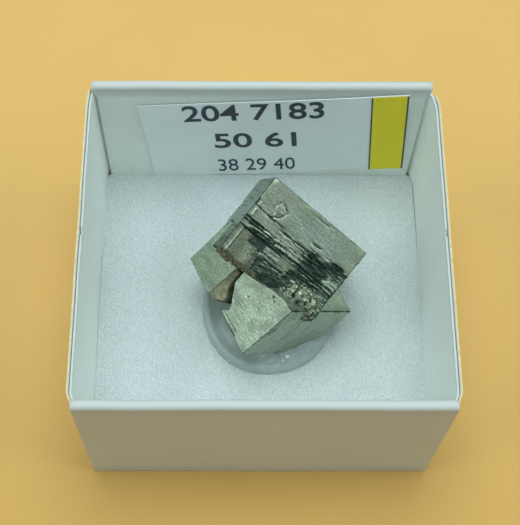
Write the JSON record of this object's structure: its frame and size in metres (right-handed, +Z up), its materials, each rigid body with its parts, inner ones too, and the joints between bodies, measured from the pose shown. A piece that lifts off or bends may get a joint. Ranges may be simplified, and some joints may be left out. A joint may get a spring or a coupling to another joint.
{
  "type": "pyrite crystal group in a card specimen tray",
  "caption": "Intergrown pyrite cubes held by clear adhesive on a foam pad in an open folded card tray with a label behind.",
  "frame": {"origin": "middle of the tray's underside, on the surface that it stands on", "axes": "+Z up, -Y towards the front of the tray, +X to the right as seen from the front"},
  "size_m": [0.0412, 0.0404, 0.024],
  "materials": {
    "white_card": "smooth matt white coated card with paler cut edges",
    "foam": "soft white granular foam with small glints",
    "label_paper": "smooth printed paper with a yellow band",
    "clear_gum": "translucent clear adhesive, glossy",
    "pyrite": "metallic pale brass-grey, striated and pitted in places",
    "granular_pyrite": "rough granular metallic crust with brown stain",
    "matrix_rock": "matt brown rock with dark cracks"
  },
  "bodies": {
    "root": {"base_panel": "white_card", "left_panel": "white_card", "right_panel": "white_card", "front_panel": "white_card", "back_panel": "white_card", "front_lining": "white_card", "back_lining": "white_card", "glue_flap_front_left": "white_card", "glue_flap_front_right": "white_card", "glue_flap_back_left": "white_card", "glue_flap_back_right": "white_card", "foam_pad": "foam", "label_card": "label_paper", "adhesive_disc": "clear_gum", "upper_crystal": "pyrite", "lower_crystal": "pyrite", "left_crystal": "pyrite", "granular_patch": "granular_pyrite", "brown_matrix": "matrix_rock"}
  },
  "joints": []
}
